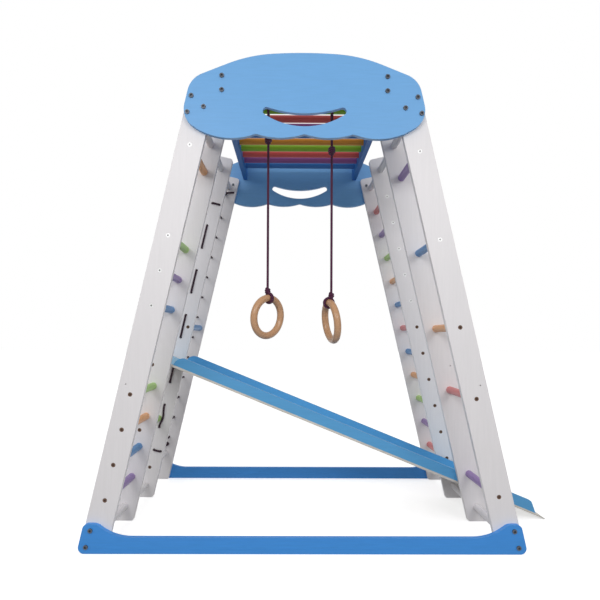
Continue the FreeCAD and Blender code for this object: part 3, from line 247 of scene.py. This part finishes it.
def bare_wood(name, light, dark, grain, satin=0.4, lacquer=0.0):
    """Bare or lacquered wood with growth lines, flecks and pores."""
    nodes = Nodes(name)
    along = nodes.stretch(grain, turn=GROWTH_TURN)
    lines = nodes.add("ShaderNodeTexWave", wave_type="BANDS", bands_direction="X")
    lines.inputs["Scale"].default_value = GROWTH_LINES
    lines.inputs["Distortion"].default_value = 5.0
    lines.inputs["Detail"].default_value = 3.0
    lines.inputs["Detail Scale"].default_value = 1.6
    nodes.link(along, lines.inputs["Vector"])
    pores = nodes.noise(nodes.stretch(tuple(g * PORE_SCALE for g in grain)), 6.0, 4.0, 0.7)
    body = nodes.ramp(lines.outputs["Fac"], 0.1, 0.95, dark, light)
    flecked = nodes.mix(nodes.scaled(pores, 0.0, 0.4), body, shade(dark, 0.8))
    rough = nodes.scaled(pores, satin - 0.06, satin + 0.12)
    relief = nodes.math("ADD", nodes.scaled(pores, 0.0, 0.6), lines.outputs["Fac"])
    nodes.bump(relief, 0.0002, 0.5, nodes.soft_edges(0.001))
    nodes.shader.inputs["Coat Weight"].default_value = lacquer
    nodes.shader.inputs["Coat Roughness"].default_value = LACQUER_ROUGHNESS
    return nodes.finish(flecked, rough)


BANDS_PER_METRE = 0.628       # a wave texture's scale for one band in a metre


def braided(name, colour, pick):
    """Braided cord: strands cross over each other both ways, a pick apart in metres, with painted
    shade in the grooves between them.
    """
    nodes = Nodes(name)
    sets = []
    for lay in (1, -1):
        strands = nodes.add("ShaderNodeTexWave", wave_type="BANDS", bands_direction="DIAGONAL")
        strands.inputs["Scale"].default_value = BANDS_PER_METRE / pick
        strands.inputs["Distortion"].default_value = 0.5
        nodes.link(nodes.stretch((lay, lay, 1)), strands.inputs["Vector"])
        sets.append(strands.outputs["Fac"])
    weave = nodes.math("MAXIMUM", sets[0], sets[1])
    fuzz = nodes.noise(nodes.stretch(AS_IS), 900.0, 3.0)
    # painted shade: darker in the grooves between the strands
    tone = nodes.ramp(weave, 0.35, 1.0, shade(colour, 0.45), colour)
    worn = nodes.mix(nodes.scaled(fuzz, 0.0, 0.30), tone, shade(colour, 1.6))
    nodes.bump(nodes.math("ADD", weave, nodes.scaled(fuzz, 0.0, 0.25)), 0.0007, 0.9)
    nodes.shader.inputs["Sheen Weight"].default_value = 0.08
    nodes.shader.inputs["Sheen Roughness"].default_value = 0.5
    return nodes.finish(worn, nodes.scaled(fuzz, 0.67, 0.90))


# how dark the painted shade along a head's rim is, and the faint one of the white heads
RIM_PAINTED_SHADE = 0.35
FAINT_RIM_PAINTED_SHADE = 0.9


def scratched(nodes, bright, rim_painted_shade=RIM_PAINTED_SHADE):
    """A metal's stained colour with painted shade at its rim and in its recesses, and its
    scratches.
    """
    scratches = nodes.noise(nodes.stretch((1, 1, 6)), 700.0, 5.0, 0.7)
    stains = nodes.noise(nodes.stretch(AS_IS), 180.0, 3.0)
    stained = nodes.mix(nodes.scaled(stains, 0.1, 0.8), bright, shade(bright, 0.75))
    # painted shade: darker along the head's rim, standing in for the shade round it
    rim = nodes.mix(nodes.edges(nodes.soft_edges(0.0012)), stained, shade(bright, rim_painted_shade))
    # painted shade: down to a tenth of the colour deep in recesses, where ambient occlusion finds
    # shade
    recess_shaded = nodes.mix(nodes.painted_recess_shade(0.004), rim, shade(bright, 0.10))
    nodes.bump(scratches, 0.00005, 0.5)
    return recess_shaded, scratches


def scuffed(nodes, scratches, roughness):
    """Roughness that varies with the scratches."""
    return nodes.scaled(scratches, roughness - 0.08, roughness + 0.12)


def metal(name, bright, roughness):
    """Plated metal with scratches and stains, and painted shade at its rim and in its recesses."""
    nodes = Nodes(name)
    colour, scratches = scratched(nodes, bright)
    nodes.shader.inputs["Metallic"].default_value = 0.85
    return nodes.finish(colour, scuffed(nodes, scratches, roughness))


def two_heights(name, upper, lower, split, roughness):
    """Screws that are one finish above a height and another below it."""
    nodes = Nodes(name)
    # the white heads get only a faint painted shade at their rim
    high, scratches = scratched(nodes, upper, FAINT_RIM_PAINTED_SHADE)
    low, _ = scratched(nodes, lower)
    height = nodes.add("ShaderNodeSeparateXYZ")
    nodes.link(nodes.place.outputs["Object"], height.inputs["Vector"])
    is_low = nodes.math("LESS_THAN", height.outputs["Z"], split)
    nodes.shader.inputs["Metallic"].default_value = 0.15
    return nodes.finish(nodes.mix(is_low, high, low), scuffed(nodes, scratches, roughness))


BARE_EDGE = srgb(226, 222, 214)
UPPER_FACE = (math.sin(SLIDE_SLOPE), 0, math.cos(SLIDE_SLOPE))
SAME_WAY = 0.996


def slide_board(name, colour):
    """The slide's bed: blue on its upper face, bare board on its edges, end and underside."""
    nodes = Nodes(name)
    fibres = nodes.noise(nodes.stretch(LADDER_GRAIN), 3.0, 6.0, 0.6)
    rubs = nodes.noise(nodes.stretch((1.2, 30, 1)), 6.0, 5.0, 0.65)
    facing = nodes.add("ShaderNodeVectorMath", operation="DOT_PRODUCT")
    facing.inputs[1].default_value = UPPER_FACE
    nodes.link(nodes.place.outputs["Normal"], facing.inputs[0])
    upper = nodes.math("GREATER_THAN", facing.outputs["Value"], SAME_WAY)
    blue = nodes.ramp(fibres, 0.3, 0.7, shade(colour, 0.95), shade(colour, 1.05))
    slid = nodes.mix(nodes.scaled(rubs, 0.0, 0.22), blue, shade(colour, 1.25))
    edge = nodes.ramp(fibres, 0.35, 0.65, shade(BARE_EDGE, 0.80), BARE_EDGE)
    nodes.bump(fibres, 0.0002, 0.5, nodes.soft_edges(0.0012))
    rough = nodes.math("ADD", nodes.scaled(rubs, -0.08, 0.12), nodes.scaled(fibres, 0.30, 0.38))
    return nodes.finish(nodes.mix(upper, edge, slid), rough)


WHITE = srgb(236, 233, 235)
SCREW_WHITE = srgb(255, 255, 255)
SCREW_BROWN = srgb(104, 72, 52)
WHITE_SCREWS_ABOVE = 0.70
MATERIALS = {
    "white_board": painted("white_board", WHITE, mottle=0.025),
    "white_rod": painted("white_rod", WHITE, ROUND_GRAIN, mottle=0.03),
    "panel_blue": painted("panel_blue", srgb(113, 172, 226), LEVEL_GRAIN, 0.4, 0.04, rub=0.3),
    "rail_blue": painted("rail_blue", srgb(66, 148, 228), LEVEL_GRAIN, 0.4, 0.05, rub=0.3),
    "beam_blue": painted("beam_blue", srgb(40, 108, 182), BEAM_GRAIN, 0.5, 0.05, rub=0.3),
    "ladder_orange": painted("ladder_orange", srgb(224, 146, 44), LADDER_GRAIN),
    "ladder_green": painted("ladder_green", srgb(134, 186, 40), LADDER_GRAIN),
    "ladder_red": painted("ladder_red", srgb(216, 84, 84), LADDER_GRAIN),
    "ladder_purple": painted("ladder_purple", srgb(136, 76, 140), LADDER_GRAIN),
    "ladder_blue": painted("ladder_blue", srgb(42, 110, 184), LADDER_GRAIN),
    "rung_orange": painted("rung_orange", srgb(241, 178, 126), ROUND_GRAIN),
    "rung_green": painted("rung_green", srgb(174, 213, 126), ROUND_GRAIN),
    "rung_red": painted("rung_red", srgb(224, 134, 134), ROUND_GRAIN),
    "rung_purple": painted("rung_purple", srgb(157, 131, 186), ROUND_GRAIN),
    "rung_blue": painted("rung_blue", srgb(90, 146, 202), ROUND_GRAIN),
    "slide_bed": slide_board("slide_bed", srgb(124, 190, 224)),
    "slide_side": painted("slide_side", srgb(92, 168, 222), LADDER_GRAIN, 0.38, 0.05, rub=0.3),
    "hook_wood": bare_wood("hook_wood", srgb(222, 192, 146), srgb(190, 150, 104), (4, 40, 40)),
    "ring_wood": bare_wood("ring_wood", srgb(216, 172, 130), srgb(184, 134, 94), (14, 14, 3),
                           satin=0.34, lacquer=0.35),
    "net_rope": braided("net_rope", srgb(46, 8, 36), 0.0024),
    "ring_rope": braided("ring_rope", srgb(76, 8, 56), 0.0026),
    "dark_bolt": metal("dark_bolt", srgb(94, 99, 108), 0.36),
    "steel_screw": two_heights("steel_screw", SCREW_WHITE, SCREW_BROWN, WHITE_SCREWS_ABOVE, 0.34),
}

for part in frame["record"]["subparts"]:
    mesh = frame["nodes"][part["node"]].data
    mesh.materials.clear()
    mesh.materials.append(MATERIALS[part["material_slot"]])


# ------------------------------------------------------------------ cord pieces


def cord_piece(name, points, radius, slot, body):
    """A round cord on a smooth line guided by points, riding on a body."""
    curve = bpy.data.curves.new(name, "CURVE")
    curve.dimensions = "3D"
    curve.bevel_depth = radius
    curve.bevel_resolution = 5
    curve.resolution_u = 8
    curve.use_fill_caps = True
    spline = curve.splines.new("NURBS")
    spline.points.add(len(points) - 1)
    for point, place in zip(spline.points, points):
        point.co = (*place, 1.0)
    spline.order_u = 3
    spline.use_endpoint_u = True
    curve.materials.append(MATERIALS[slot])
    piece = bpy.data.objects.new(name, curve)
    bpy.context.scene.collection.objects.link(piece)
    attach(piece, body)
    return piece


TURN_POINTS = 14              # route points in one turn of a knot
KNOT_TAPER = 0.22


def coil(centre, axis, radius, height, turns):
    """Points of a helix about an axis, for the turns of a knot."""
    axis = Vector(axis).normalized()
    side = axis.orthogonal().normalized()
    other = axis.cross(side)
    points = []
    count = int(turns * TURN_POINTS)
    for n in range(count + 1):
        angle = 2 * math.pi * n / TURN_POINTS
        swell = 1 - KNOT_TAPER * abs(2 * n / count - 1) ** 2
        lift = (n / count - 0.5) * height
        points.append(Vector(centre) + axis * lift
                      + (side * math.cos(angle) + other * math.sin(angle)) * radius * swell)
    return points


# ------------------------------------------------------------ rings' ropes

ROPES = {
    "left": {"x": -0.116, "knot": 1.304, "ring": 0.7125, "turn": 48.0, "tip": 6.5},
    "right": {"x": 0.0955, "knot": 1.268, "ring": 0.698, "turn": -76.0, "tip": 7.5},
}
LOOP_KNOT = 0.0135            # radius of the knot under the loop
RING_KNOT = 0.0085            # radius of the knot on the ring
KNOT_TALL = 1.2               # a knot's half height over its radius
NECK = 0.004                  # the stub of rope that stays with a knot
SWAY_GAP = 0.0009
TURN_GAP = 0.0003
RING_KNOT_RISE = 0.0245       # from the grip to the knot above it
WRAP_TURNS = 2
WRAP_PITCH = 2.1              # rope radii between the middles of two turns
STRAIGHT = 6 * 2 * ROPE       # from a knot to the rope's next route point


def rope_set(name, facts):
    """The loop over the ladder rung, its knot, the rope, and the knot and wrap on the ring."""
    x = MID + facts["x"]
    slot = "ring_rope"
    loop_body, ring_body = f"{name}_loop", f"{name}_ring_set"
    top = Vector((x, RUNG_Y, LADDER_Z))
    knot = Vector((x, RUNG_Y, facts["knot"]))

    # the bight over the rung: two leaning legs that touch a circle round it
    bend = RUNG + ROPE_GAP + ROPE
    lean = math.asin(bend / (top.z - knot.z))
    touch = Vector((0, bend * math.cos(lean), -bend * math.sin(lean)))
    corner = Vector((0, touch.y + (bend - touch.z) * math.tan(lean), bend))
    leg = 2 * touch - corner
    flip = Matrix.Diagonal((1, -1, 1))
    bight = [knot, top + flip @ leg, top + flip @ corner, top + corner, top + leg, knot]
    loop = cord_piece(f"{name}_bight", bight, ROPE, slot, loop_body)
    end = UP * 0.014
    turns = [knot - end, *coil(knot, UP, 0.0088, 0.022, 3.25), knot + end]
    cord_piece(f"{name}_loop_knot", turns, ROPE * 1.05, slot, loop_body)
    stub_low = knot.z - LOOP_KNOT * KNOT_TALL - NECK
    neck = [knot, (x, RUNG_Y, (knot.z + stub_low) / 2), (x, RUNG_Y, stub_low)]
    cord_piece(f"{name}_loop_neck", neck, ROPE, slot, loop_body)
    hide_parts(f"{name}_rope_loop")

    # where the ring hangs
    hang = (Matrix.Rotation(math.radians(facts["turn"]), 3, "Z")
            @ Matrix.Rotation(math.radians(facts["tip"]), 3, "X"))
    grip = Vector((x, RUNG_Y, facts["ring"])) + hang @ Vector((0, 0, RING))
    ring_knot = Vector((x, RUNG_Y, grip.z + RING_KNOT_RISE))
    stub_high = ring_knot.z + RING_KNOT * KNOT_TALL + NECK

    # the free rope between the two knots
    rope_top = stub_low - SWAY_GAP
    heights = (rope_top, rope_top - STRAIGHT, stub_high + STRAIGHT, stub_high)
    run = [(x, RUNG_Y, z) for z in heights]
    rope = cord_piece(f"{name}_rope_cord", run, ROPE, slot, f"{name}_line")
    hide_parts(f"{name}_rope")

    # the wrap round the ring and the knot that closes it
    across = hang @ Vector((1, 0, 0))
    reach = RING_SECTION + ROPE_GAP + ROPE
    wrap = []
    steps = TURN_POINTS * WRAP_TURNS
    for n in range(steps + 1):
        angle = 2 * math.pi * WRAP_TURNS * n / steps + math.pi / 2
        facing = hang @ Vector((0, math.cos(angle), math.sin(angle)))
        shift = (n / steps - 0.5) * ROPE * WRAP_PITCH
        wrap.append(grip + facing * reach + across * shift)
    wrapped = cord_piece(f"{name}_ring_wrap", [ring_knot, *wrap, ring_knot], ROPE, slot,
                         ring_body)
    end = UP * 0.010
    turns = [ring_knot - end, *coil(ring_knot, UP, 0.0062, 0.015, 2.4), ring_knot + end]
    cord_piece(f"{name}_ring_knot_turns", turns, ROPE, slot, ring_body)
    neck_top = stub_high - TURN_GAP
    neck = [ring_knot, (x, RUNG_Y, (ring_knot.z + neck_top) / 2), (x, RUNG_Y, neck_top)]
    cord_piece(f"{name}_ring_neck", neck, ROPE, slot, ring_body)
    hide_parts(f"{name}_ring_knot")


for name, facts in ROPES.items():
    rope_set(name, facts)

# --------------------------------------------------------------------- rope net

NET_LEVELS = 12
NET_LOW = 0.190
NET_STEP = 0.0904
SIDE_STEP = 0.028             # the first and last holes stand this far inward
STAND_OFF = NET_ROPE + 0.0003
NET_KNOT = 0.008
NEAR = 0.012                  # from a hole to the cord's points beside it
ANCHOR_HOLE = (-0.005, 1.292)
RETURN_HOLE = (0.027, 1.300)
TURN_HOLE = (-0.022, 0.186)
END_HOLE = (0.0, 0.161)
BOW = (0.008, 0.317)          # round the end of the green rung
BOW_LEVEL = NET_LEVELS - 3
TAIL = ((-0.020, 0.131), (-0.021, 0.112))


def face(board, back=False):
    """y of a net cord lying on a board's front or back."""
    y = FRONT + (board - 1) * PITCH
    return y + BOARD + STAND_OFF if back else y - STAND_OFF


def net_point(inward, height, y):
    """A point by its distance inward of the left boards' centre line, and its height."""
    x = MID - (FOOT_SPREAD - height * math.tan(LEAN) - inward / math.cos(LEAN))
    return Vector((x, y, height))


def crossing(height, start, finish):
    """The cord down a face, into a hole, across to the other board and on down its face."""
    toward = NEAR if finish > start else -NEAR
    return [
        net_point(0, height + NEAR, start),
        net_point(0, height, start),
        net_point(0, height, start + toward),
        net_point(0, height, finish - toward),
        net_point(0, height, finish),
        net_point(0, height - NEAR, finish),
    ]


def net_route():
    """The net's single cord, from its top knot to the tail under its lower knot."""
    third, third_back = face(3), face(3, back=True)
    fourth, fourth_back = face(4), face(4, back=True)
    panel_back = -FRONT + PANEL + STAND_OFF
    top = NET_LOW + (NET_LEVELS - 1) * NET_STEP
    drop = SIDE_STEP * math.tan(LEAN)

    # down from the top knot, a stitch over the rear panel's back, and forward to board 3
    end = net_point(*ANCHOR_HOLE, fourth - 2 * NET_KNOT)
    back_hole = net_point(*RETURN_HOLE, fourth)
    route = [end + (back_hole - end) * 0.2, back_hole]
    route += [net_point(*RETURN_HOLE, y) for y in (fourth + NEAR, panel_back - NEAR, panel_back)]
    route += [net_point(*ANCHOR_HOLE, y) for y in (panel_back, panel_back - NEAR, fourth - NEAR)]
    first_hole = (SIDE_STEP, top - drop)
    route += [net_point(*first_hole, y) for y in (third_back + NEAR, third + NEAR, third)]
    route.append(net_point(NEAR, top - NEAR * math.tan(LEAN), third))

    # back and forth down the two boards
    lacing = []
    for n in range(NET_LEVELS):
        ends = (third, fourth_back) if n % 2 == 0 else (fourth_back, third)
        lacing += crossing(top - n * NET_STEP, *ends)
        if n == BOW_LEVEL:
            lacing.append(net_point(*BOW, third))
    route += lacing[1:-1]

    # across, back to board 4, a stitch on its back, the lower knot and the tail
    last_hole = (SIDE_STEP, NET_LOW - drop)
    route.append(net_point(NEAR, NET_LOW - NEAR * math.tan(LEAN), third))
    route += [net_point(*last_hole, y) for y in (third, third + NEAR, third_back + NEAR)]
    route += [net_point(*TURN_HOLE, y) for y in (fourth - NEAR, fourth_back)]
    route += [net_point(*END_HOLE, y) for y in (fourth_back, fourth_back - NEAR)]
    route += [net_point(*END_HOLE, fourth - NET_KNOT)]
    route += [net_point(*site, fourth - NET_KNOT) for site in TAIL]
    return route, end


net_points, top_knot = net_route()
net = cord_piece("net_lacing", net_points, NET_ROPE, "net_rope", "frame")
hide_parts("net_cord")
lower_knot = net_point(*END_HOLE, face(4) - NET_KNOT)
for name, place, axis in (("net_top_knot", top_knot, (1, 0.4, 0.3)),
                          ("net_lower_knot", lower_knot, (0.4, 0, 1))):
    turns = coil(place, axis, 0.0052, 0.012, 2.6)
    cord_piece(name, turns, NET_ROPE * 0.95, "net_rope", "frame")

# ------------------------------------------------------------ stage and camera

WHITE_LIGHT = (1, 1, 1, 1)
FLOOR_SIZE = 40
FLOOR_DROP = 0.0005
FLOOR_GLOW = 0.55
LOW_SKY = 0.18
HIGH_SKY = 0.64
SKY_FADE = 0.3                # half the height over which the sky brightens
SOFT_BOX = (1.3, 0.5)
AIM = Vector((MID, 0, 0.9))
LIGHTS = (
    ("key_light", (-1.0, -2.5, 1.7), 18.5),
    ("fill_light", (0.9, -2.5, 1.6), 15.0),
)
CAMERA_PLACE = (MID - 0.0397, FRONT - 1.6439, 0.6514)
CAMERA_TURN = (-0.387, 0.523, 0.252)   # degrees of yaw, pitch and roll
CAMERA_SENSOR = 36.0
CAMERA_LENS = 32.71
CAMERA_SHIFT = (0.0098, 0.0509)


def make_floor():
    """A plain pale floor that runs into the pale background."""
    bpy.ops.mesh.primitive_plane_add(size=FLOOR_SIZE, location=(0, 0, -FLOOR_DROP))
    floor = bpy.context.object
    floor.name = "floor"
    floor.visible_diffuse = False
    nodes = Nodes("pale_floor")
    speckle = nodes.noise(nodes.stretch(AS_IS), 30.0, 3.0)
    tone = nodes.ramp(speckle, 0.3, 0.7, (0.88, 0.88, 0.88, 1), (0.92, 0.92, 0.92, 1))
    nodes.shader.inputs["Emission Color"].default_value = WHITE_LIGHT
    nodes.shader.inputs["Emission Strength"].default_value = FLOOR_GLOW
    floor.data.materials.append(nodes.finish(tone, nodes.scaled(speckle, 0.6, 0.75)))


def make_sky():
    """A white backdrop to look at, and a dimmer sky to light the object by."""
    world = bpy.data.worlds.new("studio")
    bpy.context.scene.world = world
    world.use_nodes = True
    tree = world.node_tree
    sky = tree.nodes["Background"]
    backdrop = tree.nodes.new("ShaderNodeBackground")
    backdrop.inputs["Color"].default_value = WHITE_LIGHT
    seen = tree.nodes.new("ShaderNodeLightPath")
    chosen = tree.nodes.new("ShaderNodeMixShader")
    heading = tree.nodes.new("ShaderNodeTexCoord")
    parts = tree.nodes.new("ShaderNodeSeparateXYZ")
    fade = tree.nodes.new("ShaderNodeMapRange")
    fade.inputs["From Min"].default_value = -SKY_FADE
    fade.inputs["From Max"].default_value = SKY_FADE
    fade.inputs["To Min"].default_value = LOW_SKY
    fade.inputs["To Max"].default_value = HIGH_SKY
    sky.inputs["Color"].default_value = WHITE_LIGHT
    tree.links.new(heading.outputs["Generated"], parts.inputs["Vector"])
    tree.links.new(parts.outputs["Z"], fade.inputs["Value"])
    tree.links.new(fade.outputs["Result"], sky.inputs["Strength"])
    tree.links.new(seen.outputs["Is Camera Ray"], chosen.inputs["Fac"])
    tree.links.new(sky.outputs["Background"], chosen.inputs[1])
    tree.links.new(backdrop.outputs["Background"], chosen.inputs[2])
    tree.links.new(chosen.outputs["Shader"], tree.nodes["World Output"].inputs["Surface"])


def make_lights():
    """Soft boxes, wide and low, in front of the frame and above its middle."""
    for name, place, power in LIGHTS:
        data = bpy.data.lights.new(name, "AREA")
        data.energy = power
        data.shape = "RECTANGLE"
        data.size, data.size_y = SOFT_BOX
        light = bpy.data.objects.new(name, data)
        bpy.context.scene.collection.objects.link(light)
        light.location = place
        aim = AIM - Vector(place)
        light.rotation_mode = "QUATERNION"
        light.rotation_quaternion = aim.to_track_quat("-Z", "Y")


def make_camera():
    """The camera, low, close in front of the frame, and nearly level."""
    data = bpy.data.cameras.new("camera")
    data.sensor_width = CAMERA_SENSOR
    data.lens = CAMERA_LENS
    data.shift_x, data.shift_y = CAMERA_SHIFT
    camera = bpy.data.objects.new("camera", data)
    bpy.context.scene.collection.objects.link(camera)
    yaw, pitch, roll = (math.radians(angle) for angle in CAMERA_TURN)
    camera.matrix_world = (
        Matrix.Translation(CAMERA_PLACE)
        @ Matrix.Rotation(yaw, 4, "Z")
        @ Matrix.Rotation(math.pi / 2 + pitch, 4, "X")
        @ Matrix.Rotation(roll, 4, "Z")
    )
    bpy.context.scene.camera = camera


make_floor()
make_sky()
make_lights()
make_camera()
bpy.context.scene.view_settings.view_transform = "Standard"
